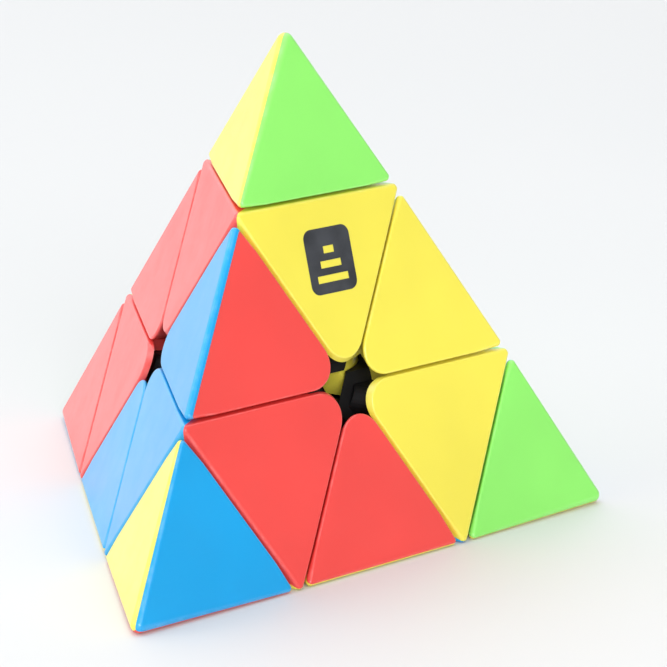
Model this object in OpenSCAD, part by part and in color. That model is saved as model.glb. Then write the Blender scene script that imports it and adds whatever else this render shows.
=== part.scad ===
// Pyramid twisty puzzle.
// Four tips, four axial pieces and six edge pieces turn round a four-armed core.
// The origin is the middle of the core, where all four turning axes meet. +Z runs up to the top.
// Every face between two layers is flat and square to a turning axis, so each layer slides on it as it turns.

/* [Pyramid] */
// Length of one edge of the pyramid, before its edges are bevelled
edge_length = 98; // [97:0.5:102]
// Length of one edge of a tip
tip_edge = 32; // [30:0.5:32]
// Gap between two pieces that slide past each other
turning_gap = 0.4; // [0.3:0.05:0.6]
// Depth of the bevel along the outer edges
edge_bevel = 0.7; // [0.4:0.1:0.8]
// Rounding of each piece beside the hole in the middle of a face
hole_corner_r = 4.2; // [3.8:0.1:4.8]

/* [Coloured tiles] */
// Wall of a coloured tile
tile_wall = 1.8; // [1.4:0.1:2]
// Depth to which an axial tile wraps down the sides of its piece
rim_depth = 5; // [4:0.5:5]
// Gap where two coloured tiles meet
seam_gap = 0.06; // [0.04:0.01:0.1]
// How far the tile of an edge piece's first face laps over the outer edge
seam_lap = 0.2; // [0.1:0.05:0.3]
// The same on the top left edge piece, whose left tile laps further
wide_seam_lap = 0.7; // [0.7:0.1:1]
// Thickness of an axial tile's nose beside a hole
nose_t = 0.9; // [0.8:0.1:1.2]
// Radius of the hollow under the noses, round the middle of a face
relief_r = 8; // [7.5:0.5:9]

/* [Mechanism] */
// Radius of the ball in the middle of the core
core_r = 10; // [9.5:0.1:10]
// Inner radius of the feet of the edge pieces
foot_inner_r = 10.4; // [10.4:0.1:11]
// Outer radius of the feet of the edge pieces
foot_outer_r = 14.5; // [14:0.1:14.6]
// Inner radius of the axial pieces, which hold the feet in
skirt_r = 14.9; // [14.9:0.1:15.2]
// Distance from the centre to the flat cut between the feet of two layers
foot_cut = 2; // [1.6:0.1:3]

/* [Screws and springs] */
// Radius of a screw's shank
screw_r = 1.45; // [1.2:0.05:1.5]
// Radius of a screw's head
screw_head_r = 2.9; // [2.6:0.1:3.1]
// Outer radius of a tension spring
spring_r = 3.6; // [3.3:0.1:3.8]
// Thickness of the spring's wire
wire_d = 0.7; // [0.5:0.05:0.7]
// Turns of the spring
spring_turns = 4.5; // [3.5:0.5:4.5]

/* [Badge] */
// Width of the printed badge on the top axial piece
badge_w = 9; // [8:0.5:11]
// Height of the badge
badge_h = 10; // [8:0.5:11]

/* [Hidden] */
$fn = 48;
reach = 80;

yellow = [1, 0.93, 0.2];
green = [0.4, 0.95, 0.35];
red = [1, 0.28, 0.25];
blue = [0, 0.6, 0.9];
black = [0.08, 0.08, 0.09];
grey = [0.25, 0.26, 0.28];
brass = [0.8, 0.65, 0.3];
steel = [0.75, 0.75, 0.78];

// Corners and faces share one numbering, because face n lies opposite corner n.
top = 0;
right = 1;
back = 2;
left = 3;
base_face = 0;
left_face = 1;
front_face = 2;
right_face = 3;
axis = [
    [0, 0, 1],
    [sqrt(6) / 3, -sqrt(2) / 3, -1 / 3],
    [0, sqrt(8) / 3, -1 / 3],
    [-sqrt(6) / 3, -sqrt(2) / 3, -1 / 3]
];

// Distances from the centre, worked out from the length of an edge.
corner_distance = edge_length * sqrt(6) / 4;
face_distance = corner_distance / 3;
edge_distance = corner_distance / sqrt(3);
layer_cut = corner_distance / 9;
tip_cut = corner_distance - tip_edge * sqrt(2 / 3);
half_gap = turning_gap / 2;

// Clearances, and how far two joined shapes run into each other.
fit_gap = 0.05;
running_gap = 0.1;
overlap = 1;

// Heights along a turning axis.
arm_end = core_r + 0.5;
neck_bottom = arm_end + running_gap;
spring_floor = 15.5;
spring_top = 21.5;
washer_t = 0.6;
head_bottom = spring_top + washer_t;
head_t = 1.9;
recess_depth = 1.2;
screw_end = 4.5;
insert_bottom = 3.5;
insert_top = arm_end - 0.5;
lip_bottom = 27.5;
bead_h = 1.6;
stem_base_t = 2.4;
stem_slot_top = tip_cut - half_gap - 1;

// Radii and widths about a turning axis.
arm_r = 4.2;
neck_r = 4.4;
insert_r = 2.4;
spring_well_r = 4.2;
lip_r = 3.7;
stem_r = lip_r - running_gap;
bead_r = 3.95;
bead_end_r = stem_r - 0.2;
stem_bore_r = 2.2;
stem_slot_w = 1;
recess_w = 0.8;
recess_l = 3.5;

// The blade of an edge piece's foot, which its two tiles close on.
blade_w = 10;
blade_t = 2;
blade_top = 22;
socket_wall = 1.2;

// Flat facets that make up the rounding beside a hole.
nose_facets = 7;

// Sides of the wire of a spring, and steps in one turn of it.
wire_sides = 6;
turn_steps = 12;
coil_ease = 0.4;

// The badge stands a little proud of its tile, and its bars show the tile between them.
badge_t = 0.3;
badge_proud = 0.02;
badge_corner_r = 1.5;
badge_bar = 1.1;
badge_step = 2;

function unit(v) = v / norm(v);

function others(skip) = [for (n = [0:3]) if (len(search(n, skip)) == 0) n];

// A plane is [normal, distance], and keeps what lies on the near side of it.
function face_plane(face, inset = 0) = [-axis[face], face_distance - inset];

function bevel_plane(face_a, face_b) = [-unit(axis[face_a] + axis[face_b]), edge_distance - edge_bevel];

function above_layer(corner, inset = 0) = [-axis[corner], -(layer_cut + half_gap + inset)];

function below_layer(corner, inset = 0) = [axis[corner], layer_cut - half_gap - inset];

function above_tip_cut(corner) = [-axis[corner], -(tip_cut + half_gap)];

function below_tip_cut(corner, inset = 0) = [axis[corner], tip_cut - half_gap - inset];

// The side of the seam that belongs to one face's tile, which may lap over the outer edge.
function seam_side(face, other, lap = 0) = [unit(axis[face] - axis[other]), lap - seam_gap / 2];

module aim(direction) {
    rotate([0, acos(direction[2]), atan2(direction[1], direction[0])]) children();
}

// Turns +X, +Y and +Z to three directions that are square to each other.
module turn_to(x, y, z, at = [0, 0, 0]) {
    multmatrix([
        [x[0], y[0], z[0], at[0]],
        [x[1], y[1], z[1], at[1]],
        [x[2], y[2], z[2], at[2]]
    ])
        children();
}

module near_side(plane) {
    aim(plane[0]) translate([-reach, -reach, plane[1] - 2 * reach]) cube(2 * reach);
}

module within(planes) {
    intersection_for (plane = planes) near_side(plane);
}

// A cylinder round a corner's axis between two heights.
module post(corner, low, high, r) {
    aim(axis[corner]) translate([0, 0, low]) cylinder(h = high - low, r = r);
}

// The faceted nose of a rounded corner that opens along +X. Only its facets reach inside the corner's sides.
module nose(half_angle, r) {
    step = (180 - 2 * half_angle) / (nose_facets + 1);
    first = 90 + half_angle + step;
    joints = [
        for (k = [0:nose_facets - 2])
            let (turn = first + (k + 0.5) * step)
            r / cos(step / 2) * [cos(turn), sin(turn)]
    ];
    far = joints[0] + 2 * reach * [sin(first), -cos(first)];
    translate([r / sin(half_angle), 0]) polygon(concat([far], joints, [[far[0], -far[1]]]));
}

// Rounds the line where two planes at one distance meet.
module corner_rounder(plane_a, plane_b, r) {
    cosine = plane_a[0] * plane_b[0];
    inward = -unit(plane_a[0] + plane_b[0]);
    along = unit(cross(plane_a[0], plane_b[0]));
    turn_to(inward, cross(along, inward), along, plane_a[1] * (plane_a[0] + plane_b[0]) / (1 + cosine))
        linear_extrude(4 * reach, center = true)
            nose(90 - acos(cosine) / 2, r);
}

// The whole outside of a tip.
module tip_body(corner) {
    own = others([corner]);
    within([
        face_plane(own[0]),
        face_plane(own[1]),
        face_plane(own[2]),
        bevel_plane(own[0], own[1]),
        bevel_plane(own[1], own[2]),
        bevel_plane(own[2], own[0]),
        above_tip_cut(corner)
    ]);
}

// The outside of an axial piece without its bevels, moved in on every side.
module axial_core(corner, inset) {
    own = others([corner]);
    r = hole_corner_r - inset;
    intersection() {
        within([
            face_plane(own[0], inset),
            face_plane(own[1], inset),
            face_plane(own[2], inset),
            below_layer(own[0], inset),
            below_layer(own[1], inset),
            below_layer(own[2], inset),
            below_tip_cut(corner, inset),
            above_layer(corner, inset)
        ]);
        corner_rounder(below_layer(own[0], inset), below_layer(own[1], inset), r);
        corner_rounder(below_layer(own[1], inset), below_layer(own[2], inset), r);
        corner_rounder(below_layer(own[2], inset), below_layer(own[0], inset), r);
    }
}

// The whole outside of an axial piece.
module axial_body(corner) {
    own = others([corner]);
    intersection() {
        axial_core(corner, 0);
        within([
            bevel_plane(own[0], own[1]),
            bevel_plane(own[1], own[2]),
            bevel_plane(own[2], own[0])
        ]);
    }
}

// The outside of an edge piece without its bevel, moved in on every side.
module edge_core(edge, inset) {
    own = others(edge);
    intersection() {
        within([
            face_plane(own[0], inset),
            face_plane(own[1], inset),
            above_layer(edge[0], inset),
            above_layer(edge[1], inset)
        ]);
        corner_rounder(above_layer(edge[0], inset), above_layer(edge[1], inset), hole_corner_r - inset);
    }
}

module tip_tile(corner, face, colour) {
    own = others([corner]);
    rest = others([corner, face]);
    color(colour)
        difference() {
            intersection() {
                tip_body(corner);
                within([
                    seam_side(face, rest[0]),
                    seam_side(face, rest[1])
                ]);
            }
            within([for (n = own) face_plane(n, tile_wall)]);
        }
}

// The base of a tip, with a split stem that snaps through the lip of the axial frame.
module tip_stem(corner) {
    own = others([corner]);
    plate_bottom = tip_cut + half_gap;
    stem_bottom = lip_bottom - running_gap - bead_h;
    color(black)
        difference() {
            union() {
                within([
                    face_plane(own[0], tile_wall + fit_gap),
                    face_plane(own[1], tile_wall + fit_gap),
                    face_plane(own[2], tile_wall + fit_gap),
                    [-axis[corner], -plate_bottom],
                    [axis[corner], plate_bottom + stem_base_t]
                ]);
                post(corner, stem_bottom, plate_bottom + stem_base_t / 2, stem_r);
                aim(axis[corner]) translate([0, 0, stem_bottom]) bead();
            }
            post(corner, 0, plate_bottom, stem_bore_r);
            aim(axis[corner])
                for (turn = [0, 90])
                    rotate(turn)
                        translate([-stem_slot_w / 2, -reach, 0])
                            cube([stem_slot_w, 2 * reach, stem_slot_top]);
        }
}

// The swollen end of a tip's stem, with a tapered lead.
module bead() {
    cylinder(h = bead_h / 2, r1 = bead_end_r, r2 = bead_r);
    translate([0, 0, bead_h / 2]) cylinder(h = bead_h / 2, r = bead_r);
}

module axial_tile(corner, face, colour) {
    rest = others([corner, face]);
    color(colour)
        difference() {
            intersection() {
                axial_body(corner);
                within([
                    [axis[face], rim_depth - face_distance],
                    seam_side(face, rest[0]),
                    seam_side(face, rest[1])
                ]);
            }
            axial_core(corner, tile_wall);
            aim(-axis[face]) cylinder(h = face_distance - nose_t, r = relief_r);
        }
}

module top_axial_front_tile() {
    difference() {
        axial_tile(top, front_face, yellow);
        at_badge() linear_extrude(2 * badge_t) badge_outline(fit_gap);
    }
}

module axial_frame(corner) {
    color(black)
        difference() {
            union() {
                difference() {
                    union() {
                        axial_core(corner, tile_wall + fit_gap);
                        intersection() {
                            axial_body(corner);
                            within([for (face = others([corner])) face_plane(face, rim_depth + fit_gap)]);
                        }
                    }
                    sphere(skirt_r);
                }
                post(corner, neck_bottom, spring_floor + overlap, neck_r);
            }
            post(corner, 0, reach, screw_r + running_gap);
            post(corner, spring_floor, lip_bottom, spring_well_r);
            post(corner, lip_bottom - overlap, reach, lip_r);
        }
}

// Turns +Z to the middle of an edge, +X across its two faces and +Y along it.
module at_edge(edge) {
    own = others(edge);
    outward = unit(axis[edge[0]] + axis[edge[1]]);
    across = unit(axis[own[0]] - axis[own[1]]);
    turn_to(across, cross(outward, across), outward) children();
}

module blade(edge, grow = 0) {
    w = blade_w + 2 * grow;
    t = blade_t + 2 * grow;
    bottom = (foot_inner_r + foot_outer_r) / 2;
    at_edge(edge) translate([-w / 2, -t / 2, bottom]) cube([w, t, blade_top + grow - bottom]);
}

module edge_tile(edge, face, colour, lap = seam_lap) {
    own = others(edge);
    other = face == own[0] ? own[1] : own[0];
    color(colour)
        difference() {
            intersection() {
                edge_core(edge, 0);
                within([
                    bevel_plane(face, other),
                    seam_side(face, other, face == own[0] ? lap : -lap)
                ]);
            }
            difference() {
                edge_core(edge, tile_wall);
                blade(edge, socket_wall);
            }
            blade(edge, fit_gap);
            sphere(foot_outer_r + fit_gap);
        }
}

module top_left_edge_tile(face, colour) {
    edge_tile([top, left], face, colour, wide_seam_lap);
}

// The foot that hooks under two axial pieces, with the blade that carries the tiles.
module edge_foot(edge, colour = black) {
    own = others(edge);
    color(colour) {
        difference() {
            sphere(foot_outer_r);
            sphere(foot_inner_r);
            near_side([axis[edge[0]], foot_cut + half_gap]);
            near_side([axis[edge[1]], foot_cut + half_gap]);
            near_side([-axis[own[0]], -(foot_cut - half_gap)]);
            near_side([-axis[own[1]], -(foot_cut - half_gap)]);
        }
        blade(edge);
    }
}

module core() {
    color(black)
        difference() {
            union() {
                sphere(core_r);
                for (c = [top, left, right, back]) post(c, core_r / 2, arm_end, arm_r);
            }
            for (c = [top, left, right, back]) post(c, insert_bottom, reach, insert_r + fit_gap);
        }
}

module core_inserts() {
    color(brass)
        for (c = [top, left, right, back])
            difference() {
                post(c, insert_bottom, insert_top, insert_r);
                post(c, 0, reach, screw_r + fit_gap);
            }
}

module axial_screws() {
    color(steel)
        for (c = [top, left, right, back])
            difference() {
                union() {
                    post(c, screw_end, head_bottom + head_t / 2, screw_r);
                    post(c, head_bottom, head_bottom + head_t, screw_head_r);
                }
                aim(axis[c])
                    translate([0, 0, head_bottom + head_t - recess_depth])
                        for (turn = [0, 90])
                            rotate(turn)
                                translate([-recess_w / 2, -recess_l / 2, 0])
                                    cube([recess_w, recess_l, head_t]);
            }
}

module spring_washers() {
    color(steel)
        for (c = [top, left, right, back])
            difference() {
                post(c, spring_top + fit_gap, head_bottom - fit_gap, spring_r);
                post(c, 0, reach, screw_r + running_gap);
            }
}

// A spring along +Z: a ring of wire swept up a helix that rises more slowly at both ends.
module coil(bottom, top_end) {
    steps = round(spring_turns * turn_steps);
    start = bottom + wire_d / 2 + fit_gap;
    rise = top_end - bottom - wire_d - 2 * fit_gap;
    points = [
        for (i = [0:steps])
            for (k = [0:wire_sides - 1])
                let (
                    t = i / steps,
                    turn = 360 * spring_turns * t,
                    side = 360 * k / wire_sides,
                    r = spring_r - wire_d / 2 * (1 - cos(side)),
                    z = start + rise * (t - coil_ease * sin(360 * t) / (2 * PI)) + wire_d / 2 * sin(side)
                )
                [r * cos(turn), r * sin(turn), z]
    ];
    skin = [
        for (i = [0:steps - 1])
            for (k = [0:wire_sides - 1])
                let (a = i * wire_sides, b = a + wire_sides, n = (k + 1) % wire_sides)
                [a + k, b + k, b + n, a + n]
    ];
    first_end = [for (k = [0:wire_sides - 1]) k];
    last_end = [for (k = [wire_sides - 1:-1:0]) steps * wire_sides + k];
    polyhedron(points, concat(skin, [first_end, last_end]));
}

module axial_springs() {
    color(steel)
        for (c = [top, left, right, back])
            aim(axis[c]) coil(spring_floor, spring_top);
}

// Puts +Z out of the front face and +Y up it, in the middle of the top axial tile, with the badge's back
// at zero.
module at_badge() {
    out = -axis[front_face];
    up = unit(axis[top] - (axis[top] * out) * out);
    height = tip_cut - (tip_cut - layer_cut) / 3;
    rise = (height - face_distance * (axis[top] * out)) / (axis[top] * up);
    turn_to(cross(up, out), up, out, rise * up + (face_distance + badge_proud - badge_t) * out) children();
}

module badge_outline(grow = 0) {
    w = badge_w / 2 - badge_corner_r;
    h = badge_h / 2 - badge_corner_r;
    r = badge_corner_r + grow;
    for (x = [-w, w]) for (y = [-h, h]) translate([x, y]) circle(r);
    square([2 * w, 2 * (h + r)], center = true);
    square([2 * (w + r), 2 * h], center = true);
}

// A plain printed plate with a triangle of three bars left open in it.
module top_badge() {
    color(grey)
        at_badge()
            linear_extrude(badge_t)
                difference() {
                    badge_outline();
                    for (n = [0:2])
                        translate([0, (1 - n) * 2 * badge_bar - badge_bar / 2])
                            square([badge_step * (n + 1), badge_bar], center = true);
                }
}

core();
core_inserts();
axial_screws();
axial_springs();
spring_washers();

axial_frame(top);  // top_axial_frame
top_axial_front_tile();
axial_tile(top, left_face, red);  // top_axial_left_tile
axial_tile(top, right_face, green);  // top_axial_right_tile
top_badge();

axial_frame(left);  // left_axial_frame
axial_tile(left, front_face, red);  // left_axial_front_tile
axial_tile(left, left_face, blue);  // left_axial_left_tile
axial_tile(left, base_face, yellow);  // left_axial_base_tile

axial_frame(right);  // right_axial_frame
axial_tile(right, front_face, yellow);  // right_axial_front_tile
axial_tile(right, right_face, green);  // right_axial_right_tile
axial_tile(right, base_face, blue);  // right_axial_base_tile

axial_frame(back);  // back_axial_frame
axial_tile(back, left_face, red);  // back_axial_left_tile
axial_tile(back, right_face, green);  // back_axial_right_tile
axial_tile(back, base_face, blue);  // back_axial_base_tile

tip_stem(top);  // top_tip_stem
tip_tile(top, front_face, green);  // top_tip_front_tile
tip_tile(top, left_face, yellow);  // top_tip_left_tile
tip_tile(top, right_face, red);  // top_tip_right_tile

tip_stem(left);  // left_tip_stem
tip_tile(left, front_face, blue);  // left_tip_front_tile
tip_tile(left, left_face, yellow);  // left_tip_left_tile
tip_tile(left, base_face, red);  // left_tip_base_tile

tip_stem(right);  // right_tip_stem
tip_tile(right, front_face, green);  // right_tip_front_tile
tip_tile(right, right_face, blue);  // right_tip_right_tile
tip_tile(right, base_face, yellow);  // right_tip_base_tile

tip_stem(back);  // back_tip_stem
tip_tile(back, left_face, red);  // back_tip_left_tile
tip_tile(back, right_face, green);  // back_tip_right_tile
tip_tile(back, base_face, blue);  // back_tip_base_tile

edge_foot([top, left]);  // top_left_edge_foot
top_left_edge_tile(front_face, red);  // top_left_edge_front_tile
top_left_edge_tile(left_face, blue);  // top_left_edge_left_tile

edge_foot([top, right], yellow);  // top_right_edge_foot
edge_tile([top, right], front_face, yellow);  // top_right_edge_front_tile
edge_tile([top, right], right_face, green);  // top_right_edge_right_tile

edge_foot([top, back]);  // top_back_edge_foot
edge_tile([top, back], left_face, red);  // top_back_edge_left_tile
edge_tile([top, back], right_face, green);  // top_back_edge_right_tile

edge_foot([left, right]);  // left_right_edge_foot
edge_tile([left, right], front_face, red);  // left_right_edge_front_tile
edge_tile([left, right], base_face, yellow);  // left_right_edge_base_tile

edge_foot([left, back]);  // left_back_edge_foot
edge_tile([left, back], left_face, blue);  // left_back_edge_left_tile
edge_tile([left, back], base_face, yellow);  // left_back_edge_base_tile

edge_foot([right, back]);  // right_back_edge_foot
edge_tile([right, back], right_face, green);  // right_back_edge_right_tile
edge_tile([right, back], base_face, blue);  // right_back_edge_base_tile
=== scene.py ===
"""Looks of the pyramid twisty puzzle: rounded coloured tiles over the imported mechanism, on a pale floor.

Shapes are worked out in millimetres, in the CAD frame, and written to meshes in metres.
Each tile is cut from the convex hull of balls that touch the same planes as its CAD solid, so it is rounded
but no larger.
"""

import math

import bmesh
import bpy
from mathutils import Matrix, Vector
from mathutils.bvhtree import BVHTree
from mathutils.kdtree import KDTree


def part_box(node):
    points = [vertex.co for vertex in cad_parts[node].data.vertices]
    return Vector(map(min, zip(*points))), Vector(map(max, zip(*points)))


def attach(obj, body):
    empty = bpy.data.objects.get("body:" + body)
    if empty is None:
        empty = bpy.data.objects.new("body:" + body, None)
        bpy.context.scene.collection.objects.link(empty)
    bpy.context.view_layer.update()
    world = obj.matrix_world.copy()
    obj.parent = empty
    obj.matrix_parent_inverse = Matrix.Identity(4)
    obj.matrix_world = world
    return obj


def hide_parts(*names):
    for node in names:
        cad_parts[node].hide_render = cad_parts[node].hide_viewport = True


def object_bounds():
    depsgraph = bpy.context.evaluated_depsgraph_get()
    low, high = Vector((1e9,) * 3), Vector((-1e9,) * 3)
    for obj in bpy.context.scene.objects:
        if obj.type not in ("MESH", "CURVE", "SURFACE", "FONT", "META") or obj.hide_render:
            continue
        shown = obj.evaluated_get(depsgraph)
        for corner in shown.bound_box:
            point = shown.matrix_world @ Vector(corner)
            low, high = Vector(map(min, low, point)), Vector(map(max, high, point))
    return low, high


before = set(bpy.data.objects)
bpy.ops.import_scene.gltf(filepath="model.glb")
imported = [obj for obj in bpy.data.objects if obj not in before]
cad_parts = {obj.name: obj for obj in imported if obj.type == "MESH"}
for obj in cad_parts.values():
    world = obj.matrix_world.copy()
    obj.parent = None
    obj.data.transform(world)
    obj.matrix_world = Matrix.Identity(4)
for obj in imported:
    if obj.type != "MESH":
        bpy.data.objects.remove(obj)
cad_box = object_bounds()

MM = 0.001
# Steps across a rounded rim, round a nose and along a ball's side.
RIM_STEPS = 9
NOSE_STEPS = 14
BALL_STEPS = 8

# Sizes of the CAD model, in millimetres.
FACE = -cad_box[0].z / MM
CORNER = 3 * FACE
LAYER = CORNER / 9
HALF_GAP = 0.2
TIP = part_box("top_tip_front_tile")[0].z / MM - HALF_GAP
NOSE_R = 4.2
NOSE_T = 0.9
RELIEF_R = 8.0
WALL = 1.8
RIM_DEPTH = 5.0
TIP_FLOOR = 2.0
SEAM = 0.02
NARROW_LAP = 0.2
WIDE_LAP = 0.7
# The slot for a foot's blade, and how far out it starts.
SLOT = (10.1, 2.1, 9.6)
SLOT_START = 12.45

# Roundings of the moulded tiles, in millimetres.
APEX_R = 1.25
TIP_CORNER_R = 0.7
TIP_RIM_R = 0.35
OUTER_R = 1.1
SHOULDER_R = 0.7
RIM_R = 0.35

# Where balls stand along a rim, as shares of its length, or in millimetres to each side of its middle.
TIP_EDGE_SHARES = (0.2, 0.6)
TIP_RIM_REACH = 10.0
AXIAL_RIM_SHARE = 0.22
EDGE_RIM_SHARE = 0.2
OUTER_EDGE_SHARES = (0.17, 0.83)
# How deep the noses of the axial tiles run below the face.
NOSE_DEPTH = 8.0
# How far from a face's direction a normal shows full wear, as 1 less the cosine between them.
FULL_WEAR = 0.18

AXIS = {
    "top": Vector((0, 0, 1)),
    "right": Vector((math.sqrt(6) / 3, -math.sqrt(2) / 3, -1 / 3)),
    "back": Vector((0, math.sqrt(8) / 3, -1 / 3)),
    "left": Vector((-math.sqrt(6) / 3, -math.sqrt(2) / 3, -1 / 3)),
}
CORNERS = ["top", "right", "back", "left"]
# The face opposite each corner. Of an edge piece's two tiles, the first in this order laps over the other.
FACES = ["base", "left", "front", "right"]
OPPOSITE = dict(zip(FACES, CORNERS))

TIP_COLOURS = {
    "top": {"front": "green", "left": "yellow", "right": "red"},
    "left": {"front": "blue", "left": "yellow", "base": "red"},
    "right": {"front": "green", "right": "blue", "base": "yellow"},
    "back": {"left": "red", "right": "green", "base": "blue"},
}
AXIAL_COLOURS = {
    "top": {"front": "yellow", "left": "red", "right": "green"},
    "left": {"front": "red", "left": "blue", "base": "yellow"},
    "right": {"front": "yellow", "right": "green", "base": "blue"},
    "back": {"left": "red", "right": "green", "base": "blue"},
}
EDGE_COLOURS = {
    ("top", "left"): {"front": "red", "left": "blue"},
    ("top", "right"): {"front": "yellow", "right": "green"},
    ("top", "back"): {"left": "red", "right": "green"},
    ("left", "right"): {"front": "red", "base": "yellow"},
    ("left", "back"): {"left": "blue", "base": "yellow"},
    ("right", "back"): {"right": "green", "base": "blue"},
}


# ---------------------------------------------------------------- planes and balls

def face_plane(face, inset=0.0):
    return -AXIS[OPPOSITE[face]], FACE - inset


def below_layer(corner, inset=0.0):
    return AXIS[corner], LAYER - HALF_GAP - inset


def above_layer(corner, inset=0.0):
    return -AXIS[corner], -(LAYER + HALF_GAP + inset)


def below_tip(corner, inset=0.0):
    return AXIS[corner], TIP - HALF_GAP - inset


def above_tip(corner):
    return -AXIS[corner], -(TIP + HALF_GAP)


def own_faces(*corners):
    return [f for f in FACES if OPPOSITE[f] not in corners]


def meet(*planes):
    """The point where three planes meet."""
    return Matrix([p[0] for p in planes]).inverted() @ Vector([p[1] for p in planes])


def fan(normals, steps):
    """Directions all over the arc between two normals, or the triangle between three."""
    if len(normals) == 2:
        a, b = normals
        whole = a.angle(b)
        return [(a * math.sin(whole * (1 - k / steps)) + b * math.sin(whole * k / steps)) / math.sin(whole)
                for k in range(steps + 1)]
    a, b, c = normals
    out = []
    for i in range(steps + 1):
        for j in range(steps + 1 - i):
            out.append((a * (steps - i - j) + b * i + c * j).normalized())
    for pair in ((a, b), (b, c), (c, a)):
        out += fan(list(pair), RIM_STEPS)
    return out


def ball(planes, r):
    """Points of a ball that touches three planes, each with its outward normal."""
    centre = meet(*[(n, d - r) for n, d in planes])
    if r == 0:
        return [(centre, planes[0][0])]
    return [(centre + r * n, n) for n in fan([p[0] for p in planes], BALL_STEPS)]


def rim_ball(plane_a, plane_b, across, at, r):
    """Points of a ball on the rim between two planes, at a distance along a direction."""
    centre = meet((plane_a[0], plane_a[1] - r), (plane_b[0], plane_b[1] - r), (across, at))
    return [(centre + r * n, n) for n in fan([plane_a[0], plane_b[0]], RIM_STEPS)]


def nose(face, side_a, side_b, rho, r, deep=None):
    """Points of the rounded corner that three planes make beside a hole."""
    along = side_a[0].cross(side_b[0]).normalized()
    centre = meet((side_a[0], side_a[1] - rho), (side_b[0], side_b[1] - rho), (along, 0))
    out = []
    for w in fan([side_a[0], side_b[0]], NOSE_STEPS):
        foot = centre + (rho - r) * w
        c = foot + along * ((face[1] - r - face[0].dot(foot)) / face[0].dot(along))
        if r == 0:
            out.append((c, w))
        else:
            out += [(c + r * n, n) for n in fan([face[0], w], RIM_STEPS)]
        if deep is not None:
            foot = centre + rho * w
            out.append((foot + along * ((face[1] - deep - face[0].dot(foot)) / face[0].dot(along)), w))
    return out


# ---------------------------------------------------------------- the rounded bodies

def tip_points(corner):
    own = [face_plane(f) for f in own_faces(corner)]
    cut = above_tip(corner)
    pts = ball(own, APEX_R)
    axis = AXIS[corner]
    for i in range(3):
        a, b = own[i], own[(i + 1) % 3]
        pts += ball([a, b, cut], TIP_CORNER_R)
        low, high = TIP + HALF_GAP, CORNER
        for share in TIP_EDGE_SHARES:
            pts += rim_ball(a, b, axis, low + (high - low) * share, OUTER_R)
        # The rim at the foot of one face, from corner to corner.
        along = a[0].cross(cut[0]).normalized()
        for way in (-1, 1):
            pts += rim_ball(a, cut, along, way * TIP_RIM_REACH, TIP_RIM_R)
    return pts


def axial_points(corner, inset=0.0):
    faces = own_faces(corner)
    rounded = inset == 0
    top = below_tip(corner, inset)
    pts = []
    for f in faces:
        rest = [g for g in faces if g != f]
        side = below_layer(OPPOSITE[f], inset)
        outer = [face_plane(g, inset) for g in rest]
        pts += ball([*outer, side], SHOULDER_R if rounded else 0)
        pts += ball([*outer, top], SHOULDER_R if rounded else 0)
        sides = [below_layer(OPPOSITE[g], inset) for g in rest]
        here = face_plane(f, inset)
        pts += nose(here, *sides, NOSE_R - inset, RIM_R if rounded else 0, deep=NOSE_DEPTH)
        if rounded:
            for s, o in zip(sides, reversed(sides)):
                along = here[0].cross(s[0]).normalized()
                far = along.dot(meet(here, s, top))
                near = along.dot(meet(here, s, o))
                pts += rim_ball(here, s, along, far + (near - far) * AXIAL_RIM_SHARE, RIM_R)
    return pts


def edge_points(edge, inset=0.0):
    rounded = inset == 0
    outer = [face_plane(f, inset) for f in own_faces(*edge)]
    sides = [above_layer(c, inset) for c in edge]
    pts = []
    for s in sides:
        pts += ball([*outer, s], SHOULDER_R if rounded else 0)
    for f in outer:
        pts += nose(f, *sides, NOSE_R - inset, RIM_R if rounded else 0)
        if rounded:
            for s, o in zip(sides, reversed(sides)):
                along = f[0].cross(s[0]).normalized()
                far = along.dot(meet(*outer, s))
                near = along.dot(meet(f, s, o))
                pts += rim_ball(f, s, along, far + (near - far) * EDGE_RIM_SHARE, RIM_R)
    if rounded:
        along = outer[0][0].cross(outer[1][0]).normalized()
        ends = [along.dot(meet(*outer, s)) for s in sides]
        for share in OUTER_EDGE_SHARES:
            pts += rim_ball(*outer, along, ends[0] + (ends[1] - ends[0]) * share, OUTER_R)
    return pts


class Hull:
    """The convex hull of points, which knows its smooth normals."""

    def __init__(self, pts):
        self.bm = bmesh.new()
        for p, _ in pts:
            self.bm.verts.new(p)
        bmesh.ops.remove_doubles(self.bm, verts=self.bm.verts, dist=1e-4)
        made = bmesh.ops.convex_hull(self.bm, input=self.bm.verts)
        spare = made["geom_interior"] + made["geom_unused"]
        inside = {v for v in spare if isinstance(v, bmesh.types.BMVert)}
        bmesh.ops.delete(self.bm, geom=list(inside), context="VERTS")
        bmesh.ops.recalc_face_normals(self.bm, faces=self.bm.faces)
        tree = KDTree(len(pts))
        for k, (p, _) in enumerate(pts):
            tree.insert(p, k)
        tree.balance()
        self.bm.verts.ensure_lookup_table()
        self.bm.faces.ensure_lookup_table()
        self.bm.verts.index_update()
        self.normal = [pts[tree.find(v.co)[1]][1] for v in self.bm.verts]
        self.corners = [[v.index for v in f.verts] for f in self.bm.faces]
        self.tree = BVHTree.FromBMesh(self.bm, epsilon=1e-6)

    def smooth_normal(self, p, flat):
        """The normal at a point of the hull, or None where the point lies on a cut."""
        hit, n, face, gap = self.tree.find_nearest(p + flat * 2e-3)
        if gap is None or gap > 1e-2 or n.dot(flat) < 0.97:
            return None
        ids = self.corners[face]
        a, b, c = (self.bm.verts[i].co for i in ids)
        whole = (b - a).cross(c - a)
        area = whole.dot(whole)
        if area < 1e-18:
            return self.normal[ids[0]]
        w0 = (b - hit).cross(c - hit).dot(whole) / area
        w1 = (c - hit).cross(a - hit).dot(whole) / area
        w2 = 1 - w0 - w1
        return (self.normal[ids[0]] * w0 + self.normal[ids[1]] * w1 + self.normal[ids[2]] * w2).normalized()


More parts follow.
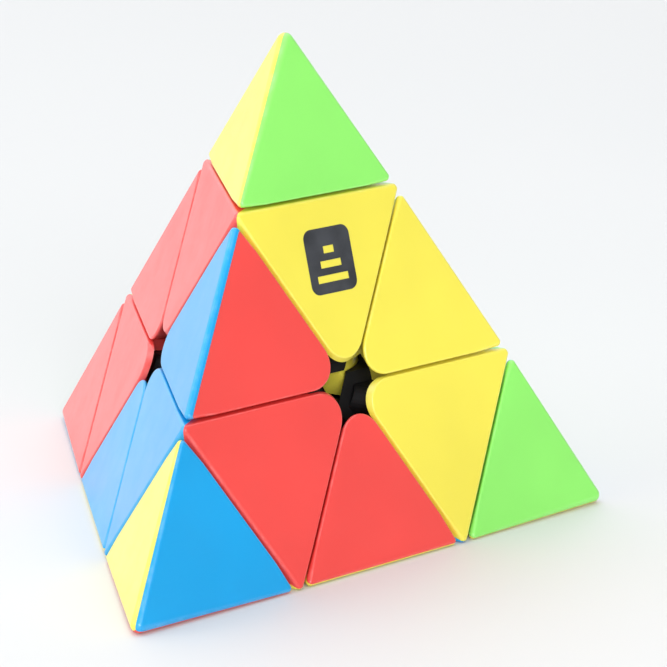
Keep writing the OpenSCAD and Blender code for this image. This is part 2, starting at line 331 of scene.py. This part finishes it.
def cut(bm, plane):
    """Keeps the near side of a plane and closes the cut."""
    n, d = plane
    geom = bm.verts[:] + bm.edges[:] + bm.faces[:]
    made = bmesh.ops.bisect_plane(bm, geom=geom, dist=1e-5, plane_co=n * d, plane_no=n, clear_outer=True)
    ring = [g for g in made["geom_cut"] if isinstance(g, bmesh.types.BMEdge)]
    if ring:
        bmesh.ops.edgeloop_fill(bm, edges=ring)


def seam_planes(face, faces, lap=0.0):
    """The seams round one face's tile. The tile of the piece's first face laps over the outer edge."""
    out = []
    for other in faces:
        if other != face:
            n = (AXIS[OPPOSITE[face]] - AXIS[OPPOSITE[other]]).normalized()
            shift = lap if face == faces[0] else -lap if other == faces[0] else 0
            out.append((n, shift - SEAM / 2))
    return out


def block(size, matrix):
    bm = bmesh.new()
    bmesh.ops.create_cube(bm, size=1, matrix=matrix @ Matrix.Diagonal((*size, 1)))
    return bm


def relief(face):
    """The round hollow behind the middle of a face, up to the undersides of the noses."""
    bm = bmesh.new()
    out = -AXIS[OPPOSITE[face]]
    high = FACE - NOSE_T
    turn = out.to_track_quat("Z", "X").to_matrix().to_4x4()
    bmesh.ops.create_cone(bm, cap_ends=True, segments=64, radius1=RELIEF_R, radius2=RELIEF_R, depth=high,
                          matrix=Matrix.Translation(out * high / 2) @ turn)
    return bm


def to_object(bm, name):
    mesh = bpy.data.meshes.new(name)
    bm.to_mesh(mesh)
    obj = bpy.data.objects.new(name, mesh)
    bpy.context.scene.collection.objects.link(obj)
    return obj


def carve(bm, cutters):
    """bm less each cutter, all closed meshes."""
    obj = to_object(bm, "carved")
    tools = []
    for c in cutters:
        tool = to_object(c, "cutter")
        tools.append(tool)
        mod = obj.modifiers.new("cut", "BOOLEAN")
        mod.operation = "DIFFERENCE"
        mod.solver = "EXACT"
        mod.object = tool
    done = bpy.data.meshes.new_from_object(obj.evaluated_get(bpy.context.evaluated_depsgraph_get()))
    out = bmesh.new()
    out.from_mesh(done)
    for o in [obj, *tools]:
        mesh = o.data
        bpy.data.objects.remove(o)
        bpy.data.meshes.remove(mesh)
    bpy.data.meshes.remove(done)
    return out


def tile(name, hull, planes, cutters, body, colour):
    """One coloured tile: the part of a rounded body inside some planes, less its hollow."""
    bm = hull.bm.copy()
    for p in planes:
        cut(bm, p)
    if cutters:
        bm = carve(bm, cutters)
    bmesh.ops.recalc_face_normals(bm, faces=bm.faces)
    for f in bm.faces:
        f.smooth = True
    bm.normal_update()
    normals, rim = [], []
    for f in bm.faces:
        flat = f.normal.copy()
        middle = f.calc_center_median()
        skin = hull.smooth_normal(middle, flat) is not None
        for loop in f.loops:
            p = loop.vert.co
            n = hull.smooth_normal(p * 0.98 + middle * 0.02, flat) if skin else None
            normals.append(n or flat)
            rim.append(edge_wear(n) if n else 0.0)
    obj = to_object(bm, name)
    mesh = obj.data
    layer = mesh.attributes.new("rim", "FLOAT", "CORNER")
    layer.data.foreach_set("value", rim)
    mesh.transform(Matrix.Scale(MM, 4))
    mesh.normals_split_custom_set([tuple(n) for n in normals])
    mesh.materials.append(PLASTIC[colour])
    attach(obj, body)
    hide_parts(name.replace("_skin", ""))
    return obj


def edge_wear(n):
    """0 on the flats of a tile and 1 well round a rounded edge, from the normal there."""
    nearest = max(abs(n.dot(a)) for a in AXIS.values())
    return min(1.0, max(0.0, (1 - nearest) / FULL_WEAR))


# ---------------------------------------------------------------- materials

def nodes_of(name):
    """A new material, its tree and shader, and a function that adds nodes to it."""
    mat = bpy.data.materials.new(name)
    mat.use_nodes = True
    tree = mat.node_tree
    shader = tree.nodes["Principled BSDF"]

    def add(kind, **inputs):
        node = tree.nodes.new(kind)
        for key, value in inputs.items():
            if hasattr(node, key):
                setattr(node, key, value)
            else:
                node.inputs[key.replace("_", " ").title()].default_value = value
        return node

    return mat, tree, shader, add


def link(tree, a, out, b, into):
    tree.links.new(a.outputs[out], b.inputs[into])


def noise(add, tree, coord, scale, detail=3.0, rough=0.55):
    node = add("ShaderNodeTexNoise", scale=scale, detail=detail, roughness=rough)
    link(tree, coord, "Object", node, "Vector")
    return node


def ramp(tree, source, out, low, high, at=(0.35, 0.65)):
    """Maps a value to the range low to high."""
    node = tree.nodes.new("ShaderNodeMapRange")
    node.clamp = True
    node.inputs["From Min"].default_value = at[0]
    node.inputs["From Max"].default_value = at[1]
    node.inputs["To Min"].default_value = low
    node.inputs["To Max"].default_value = high
    tree.links.new(source.outputs[out], node.inputs["Value"])
    return node


def mix_colour(tree, factor, out, a, b):
    """A mix of two colours, each a constant or a socket. Returns the mixed colour's socket."""
    node = tree.nodes.new("ShaderNodeMix")
    node.data_type = "RGBA"
    tree.links.new(factor.outputs[out], node.inputs["Factor"])
    for key, value in (("A", a), ("B", b)):
        socket = next(s for s in node.inputs if s.name == key and s.type == "RGBA")
        if isinstance(value, (tuple, list)):
            socket.default_value = (*value, 1)
        else:
            tree.links.new(value, socket)
    return next(s for s in node.outputs if s.type == "RGBA")


def tile_plastic(name, colour):
    """Satin moulded plastic, coloured through, with faint flow marks, fine grain and paler worn rims.

    Its roughness stays above 0.28, because the denoiser leaves dark ticks where it crosses 0.27.
    """
    mat, tree, shader, add = nodes_of(name)
    coord = add("ShaderNodeTexCoord")
    flow = noise(add, tree, coord, 45.0, 2.0)
    deep = tuple(c * 0.93 for c in colour)
    shade = ramp(tree, flow, "Fac", 0.0, 1.0)
    base = mix_colour(tree, shade, "Result", deep, colour)
    rim = add("ShaderNodeAttribute", attribute_name="rim")
    patch = noise(add, tree, coord, 420.0, 4.0)
    worn = ramp(tree, patch, "Fac", 0.0, 0.32, at=(0.45, 0.75))
    both = tree.nodes.new("ShaderNodeMath")
    both.operation = "MULTIPLY"
    link(tree, rim, "Fac", both, 0)
    link(tree, worn, "Result", both, 1)
    pale = tuple(c + (1 - c) * 0.35 for c in colour)
    worn_base = mix_colour(tree, both, "Value", base, pale)
    tree.links.new(worn_base, shader.inputs["Base Color"])

    grain = noise(add, tree, coord, 2600.0, 2.0, 0.7)
    gloss = noise(add, tree, coord, 130.0, 5.0, 0.6)
    satin = ramp(tree, gloss, "Fac", 0.29, 0.37)
    link(tree, satin, "Result", shader, "Roughness")
    fine = add("ShaderNodeBump", strength=0.035, distance=0.00008)
    link(tree, grain, "Fac", fine, "Height")
    wave = add("ShaderNodeBump", strength=0.05, distance=0.0004)
    link(tree, flow, "Fac", wave, "Height")
    link(tree, fine, "Normal", wave, "Normal")
    link(tree, wave, "Normal", shader, "Normal")
    shader.inputs["IOR"].default_value = 1.5
    shader.inputs["Coat Weight"].default_value = 0.6
    shader.inputs["Coat Roughness"].default_value = 0.22
    shader.inputs["Subsurface Weight"].default_value = 0.15
    shader.inputs["Subsurface Radius"].default_value = (1, 1, 1)
    shader.inputs["Subsurface Scale"].default_value = 0.0008
    return mat


def matt_plastic(name, colour, rough=(0.42, 0.6)):
    """Black moulded plastic of the inner parts, a little grey with dust and rubbed shiny in patches."""
    mat, tree, shader, add = nodes_of(name)
    coord = add("ShaderNodeTexCoord")
    cloud = noise(add, tree, coord, 160.0, 4.0)
    shade = ramp(tree, cloud, "Fac", 0.0, 1.0)
    base = mix_colour(tree, shade, "Result", colour, tuple(c * 1.8 + 0.001 for c in colour))
    tree.links.new(base, shader.inputs["Base Color"])
    shader.inputs["Specular IOR Level"].default_value = 0.3
    rub = ramp(tree, noise(add, tree, coord, 90.0, 3.0), "Fac", *rough)
    link(tree, rub, "Result", shader, "Roughness")
    fine = add("ShaderNodeBump", strength=0.12, distance=0.00012)
    link(tree, noise(add, tree, coord, 1900.0, 3.0, 0.7), "Fac", fine, "Height")
    link(tree, fine, "Normal", shader, "Normal")
    return mat


def metal(name, colour, low, high, stretch):
    """Turned or drawn metal: fine marks round it, with a film of grease in patches."""
    mat, tree, shader, add = nodes_of(name)
    coord = add("ShaderNodeTexCoord")
    place = add("ShaderNodeMapping")
    place.inputs["Scale"].default_value = stretch
    link(tree, coord, "Object", place, "Vector")
    marks = add("ShaderNodeTexNoise", scale=900.0, detail=4.0)
    link(tree, place, "Vector", marks, "Vector")
    film = noise(add, tree, coord, 240.0, 3.0)
    shade = ramp(tree, film, "Fac", 0.0, 1.0)
    base = mix_colour(tree, shade, "Result", tuple(c * 0.8 for c in colour), colour)
    tree.links.new(base, shader.inputs["Base Color"])
    rough = ramp(tree, marks, "Fac", low, high)
    link(tree, rough, "Result", shader, "Roughness")
    fine = add("ShaderNodeBump", strength=0.15, distance=0.00005)
    link(tree, marks, "Fac", fine, "Height")
    link(tree, fine, "Normal", shader, "Normal")
    shader.inputs["Metallic"].default_value = 1.0
    return mat


PLASTIC = {
    "yellow": tile_plastic("yellow tile plastic", (0.95, 0.83, 0.09)),
    "green": tile_plastic("green tile plastic", (0.30, 0.90, 0.16)),
    "red": tile_plastic("red tile plastic", (0.93, 0.075, 0.065)),
    "blue": tile_plastic("blue tile plastic", (0.001, 0.39, 0.82)),
}
BLACK = matt_plastic("black moulded plastic", (0.004, 0.004, 0.0045))
PRINT = matt_plastic("badge print", (0.035, 0.037, 0.042), (0.35, 0.48))
ZINC = metal("zinc plated steel", (0.72, 0.72, 0.74), 0.22, 0.4, (1, 1, 0.2))
WIRE = metal("bright spring wire", (0.66, 0.67, 0.7), 0.18, 0.34, (0.2, 0.2, 1))
BRASS = metal("machined brass", (0.8, 0.6, 0.26), 0.2, 0.38, (1, 1, 0.2))


# ---------------------------------------------------------------- the tiles

for corner in CORNERS:
    faces = own_faces(corner)
    hull = Hull(tip_points(corner))
    inner = [face_plane(f, WALL) for f in faces]
    tip_floor = (-AXIS[corner], -(TIP - TIP_FLOOR))
    for face in faces:
        hollow = bmesh.new()
        hollow.verts.new(meet(*inner))
        for i in range(3):
            hollow.verts.new(meet(inner[i], inner[(i + 1) % 3], tip_floor))
        bmesh.ops.convex_hull(hollow, input=hollow.verts)
        bmesh.ops.recalc_face_normals(hollow, faces=hollow.faces)
        tile(f"{corner}_tip_{face}_tile_skin", hull, seam_planes(face, faces), [hollow],
             corner + "_tip", TIP_COLOURS[corner][face])

for corner in CORNERS:
    faces = own_faces(corner)
    whole = Hull(axial_points(corner))
    bottom = above_layer(corner)
    for face in faces:
        hollow = Hull(axial_points(corner, WALL)).bm
        cut(hollow, above_layer(corner, WALL))
        bmesh.ops.recalc_face_normals(hollow, faces=hollow.faces)
        depth = (AXIS[OPPOSITE[face]], RIM_DEPTH - FACE)
        planes = [bottom, depth, *seam_planes(face, faces)]
        tile(f"{corner}_axial_{face}_tile_skin", whole, planes, [hollow, relief(face)],
             corner + "_axial", AXIAL_COLOURS[corner][face])

for edge, colours in EDGE_COLOURS.items():
    faces = own_faces(*edge)
    whole = Hull(edge_points(edge))
    outward = (AXIS[edge[0]] + AXIS[edge[1]]).normalized()
    across = (AXIS[OPPOSITE[faces[0]]] - AXIS[OPPOSITE[faces[1]]]).normalized()
    turn = Matrix((across, outward.cross(across), outward)).transposed().to_4x4()
    lap = WIDE_LAP if edge == ("top", "left") else NARROW_LAP
    for face in faces:
        hollow = Hull(edge_points(edge, WALL)).bm
        slot = block(SLOT, turn @ Matrix.Translation((0, 0, SLOT_START + SLOT[2] / 2)))
        body = f"{edge[0]}_{edge[1]}_edge"
        tile(f"{body}_{face}_tile_skin", whole, seam_planes(face, faces, lap), [hollow, slot],
             body, colours[face])


# ---------------------------------------------------------------- the mechanism, as packed

LOOKS = {
    "top_badge": PRINT,
    "axial_screws": ZINC,
    "spring_washers": ZINC,
    "axial_springs": WIRE,
    "core_inserts": BRASS,
    "core": BLACK,
    "top_right_edge_foot": PLASTIC["yellow"],
}
for name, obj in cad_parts.items():
    look = LOOKS.get(name)
    if look is None and name.endswith(("_frame", "_stem", "_foot")):
        look = BLACK
    if look is not None:
        obj.data.materials.clear()
        obj.data.materials.append(look)


# ---------------------------------------------------------------- floor, light and camera

floor_mesh = bpy.data.meshes.new("studio floor")
half = 3.0
floor_corners = [(-half, -half, 0), (half, -half, 0), (half, half, 0), (-half, half, 0)]
floor_mesh.from_pydata(floor_corners, [], [(0, 1, 2, 3)])
floor_obj = bpy.data.objects.new("studio_floor", floor_mesh)
# The floor lies a hair below the base, so the two don't coincide.
floor_obj.location.z = cad_box[0].z - 0.02 * MM
bpy.context.scene.collection.objects.link(floor_obj)
mat, tree, shader, add = nodes_of("pale paper floor")
coord = add("ShaderNodeTexCoord")
cloud = ramp(tree, noise(add, tree, coord, 3.0, 2.0), "Fac", 0.0, 1.0)
base = mix_colour(tree, cloud, "Result", (0.73, 0.735, 0.735), (0.75, 0.75, 0.75))
tree.links.new(base, shader.inputs["Base Color"])
shader.inputs["Roughness"].default_value = 0.6
shader.inputs["Specular IOR Level"].default_value = 0.2
floor_mesh.materials.append(mat)


def soft_box(name, place, target, size, watts, colour=(1, 1, 1)):
    lamp = bpy.data.lights.new(name, "AREA")
    lamp.shape = "RECTANGLE"
    lamp.size, lamp.size_y = size
    lamp.energy = watts
    lamp.color = colour
    obj = bpy.data.objects.new(name, lamp)
    obj.location = place
    obj.rotation_mode = "QUATERNION"
    obj.rotation_quaternion = (Vector(target) - Vector(place)).to_track_quat("-Z", "Y")
    bpy.context.scene.collection.objects.link(obj)


soft_box("overhead_box", (0.0, 0.25, 1.2), (0, 0.1, 0), (1.8, 1.8), 11.0)
soft_box("front_box", (-0.75, -1.3, 0.55), (0, 0, 0.02), (1.1, 0.9), 17.0)
soft_box("left_box", (-1.3, 0.45, 0.55), (0, 0, 0.02), (1.0, 0.8), 5.0, (0.96, 0.98, 1))

world = bpy.data.worlds.new("studio")
world.use_nodes = True
# The room is brighter behind the object than in front of it.
tree = world.node_tree
sky = tree.nodes["Background"]
sky.inputs["Color"].default_value = (0.95, 0.975, 1.0, 1)
place = tree.nodes.new("ShaderNodeTexCoord")
split = tree.nodes.new("ShaderNodeSeparateXYZ")
link(tree, place, "Generated", split, "Vector")
fade = ramp(tree, split, "Y", 0.28, 1.25, at=(-0.3, 0.8))
link(tree, fade, "Result", sky, "Strength")
bpy.context.scene.world = world
bpy.context.scene.view_settings.view_transform = "Standard"
bpy.context.scene.view_settings.look = "None"

AZIMUTH, ELEVATION, ROLL = (math.radians(a) for a in (-41.42, 17.89, 2.44))
DISTANCE = 0.4961
SHIFT_RIGHT, SHIFT_UP = 0.0096, 0.0092
level = Vector((math.sin(AZIMUTH), -math.cos(AZIMUTH), 0))
away = level * math.cos(ELEVATION) + Vector((0, 0, math.sin(ELEVATION)))
right = (-away).cross(Vector((0, 0, 1))).normalized()
up = right.cross(-away)
right, up = (right * math.cos(ROLL) + up * math.sin(ROLL), up * math.cos(ROLL) - right * math.sin(ROLL))
camera = bpy.data.objects.new("camera", bpy.data.cameras.new("camera"))
camera.data.sensor_width = 36
camera.data.lens = 171
camera.data.clip_start, camera.data.clip_end = 0.02, 20
spot = Matrix.Translation(away * DISTANCE + right * SHIFT_RIGHT + up * SHIFT_UP)
camera.matrix_world = spot @ Matrix((right, up, away)).transposed().to_4x4()
bpy.context.scene.collection.objects.link(camera)
bpy.context.scene.camera = camera
